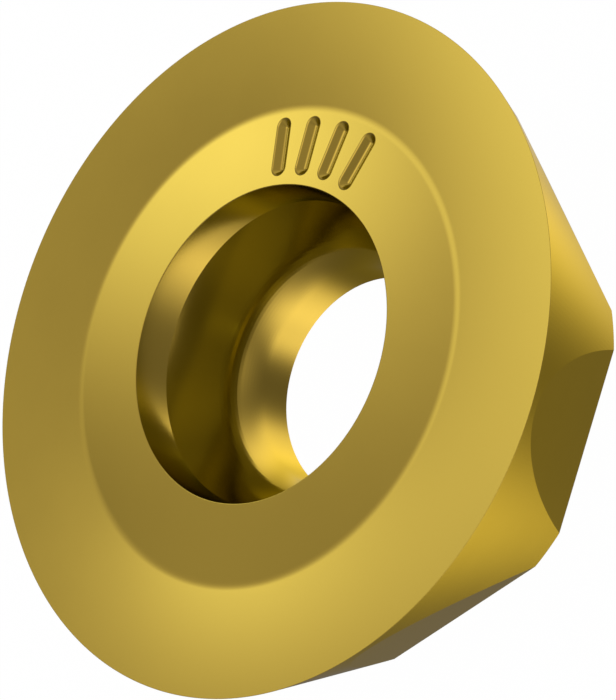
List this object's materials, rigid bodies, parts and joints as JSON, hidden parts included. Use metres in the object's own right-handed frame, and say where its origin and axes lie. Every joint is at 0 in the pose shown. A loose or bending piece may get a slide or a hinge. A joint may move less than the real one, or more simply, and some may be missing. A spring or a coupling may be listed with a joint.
{
  "type": "round carbide cutting insert",
  "caption": "Round coated carbide insert with a dished rake face, a level boss, a tapered flank with index facets, and a countersunk hole for its clamping screw.",
  "frame": {"origin": "centre of the ground seating face, on the screw hole's axis", "axes": "+Z along the screw hole's axis from the seating face towards the cutting edge, +X through the middle of one index facet"},
  "size_m": [0.016, 0.016, 0.0048],
  "materials": {
    "coated_carbide": "gold-coloured hard nitride coating, satin, over sintered tungsten carbide"
  },
  "bodies": {
    "root": {"insert_body": "coated_carbide"}
  },
  "joints": []
}
